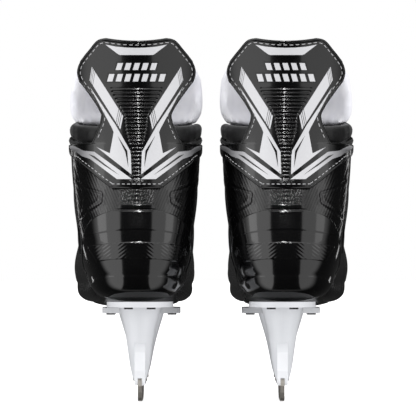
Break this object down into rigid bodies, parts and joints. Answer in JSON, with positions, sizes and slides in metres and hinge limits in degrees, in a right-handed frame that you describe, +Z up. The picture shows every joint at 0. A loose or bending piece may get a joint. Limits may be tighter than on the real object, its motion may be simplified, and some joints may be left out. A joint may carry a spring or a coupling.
{
  "type": "pair of ice hockey skates",
  "caption": "Pair of ice hockey skates: hard black boots with white padded tongues, flexing tendon guards, white blade holders and ground steel runners",
  "frame": {"origin": "the middle of the pair's footprint, on the ice", "axes": "+X from the left skate to the right skate, +Y from the heels to the toes, +Z up"},
  "size_m": [0.2144, 0.2878, 0.2732],
  "materials": {
    "black_shell": "glossy black",
    "grey_lining": "brushed knit",
    "black_collar": "padded knit",
    "black_sole": "satin black",
    "insole_board": "matte",
    "grey_footbed": "moulded foam with a knit cover",
    "black_trim": "satin black",
    "dark_steel": "blackened",
    "white_felt": "white padded fabric",
    "charcoal_guard": "glossy charcoal",
    "runner_steel": "ground",
    "white_holder": "glossy white"
  },
  "bodies": {
    "left_skate": {"left_ankle_pads": "grey_lining", "left_collar_binding": "black_trim", "left_collar_pad": "black_collar", "left_eyelet_stays": "black_trim", "left_eyelets": "dark_steel", "left_footbed": "grey_footbed", "left_front_rivets": "dark_steel", "left_guard_base": "charcoal_guard", "left_heel_counter": "black_shell", "left_heel_stay": "black_trim", "left_holder": "white_holder", "left_insole_board": "insole_board", "left_lining": "grey_lining", "left_outsole": "black_sole", "left_quarter_shell": "black_shell", "left_rear_rivets": "dark_steel", "left_runner": "runner_steel", "left_runner_bolts": "runner_steel", "left_side_overlays": "black_trim", "left_toe_cap": "black_shell", "left_tongue_base": "white_felt"},
    "right_skate": {"right_ankle_pads": "grey_lining", "right_collar_binding": "black_trim", "right_collar_pad": "black_collar", "right_eyelet_stays": "black_trim", "right_eyelets": "dark_steel", "right_footbed": "grey_footbed", "right_front_rivets": "dark_steel", "right_guard_base": "charcoal_guard", "right_heel_counter": "black_shell", "right_heel_stay": "black_trim", "right_holder": "white_holder", "right_insole_board": "insole_board", "right_lining": "grey_lining", "right_outsole": "black_sole", "right_quarter_shell": "black_shell", "right_rear_rivets": "dark_steel", "right_runner": "runner_steel", "right_runner_bolts": "runner_steel", "right_side_overlays": "black_trim", "right_toe_cap": "black_shell", "right_tongue_base": "white_felt"},
    "left_tongue_flap": {"left_tongue_top": "white_felt"},
    "right_tongue_flap": {"right_tongue_top": "white_felt"},
    "left_guard_flap": {"left_tendon_guard": "charcoal_guard", "left_guard_pad": "black_collar"},
    "right_guard_flap": {"right_tendon_guard": "charcoal_guard", "right_guard_pad": "black_collar"}
  },
  "joints": [
    {"name": "pair_spacing", "type": "slide", "parent": "left_skate", "child": "right_skate", "axis": [1, 0, 0], "range_m": [0, 0.15]},
    {"name": "left_tongue_flex", "type": "hinge", "parent": "left_skate", "child": "left_tongue_flap", "pos_m": [-0.05625, -0.041, 0.2115], "axis": [-1, 0, 0], "range_deg": [-8, 40], "stiffness_Nm_per_rad": 0.5},
    {"name": "left_guard_flex", "type": "hinge", "parent": "left_skate", "child": "left_guard_flap", "pos_m": [-0.05625, -0.131, 0.212], "axis": [1, 0, 0], "range_deg": [-8, 22], "stiffness_Nm_per_rad": 1.2},
    {"name": "right_tongue_flex", "type": "hinge", "parent": "right_skate", "child": "right_tongue_flap", "pos_m": [0.05625, -0.041, 0.2115], "axis": [-1, 0, 0], "range_deg": [-8, 40], "stiffness_Nm_per_rad": 0.5},
    {"name": "right_guard_flex", "type": "hinge", "parent": "right_skate", "child": "right_guard_flap", "pos_m": [0.05625, -0.131, 0.212], "axis": [1, 0, 0], "range_deg": [-8, 22], "stiffness_Nm_per_rad": 1.2}
  ]
}
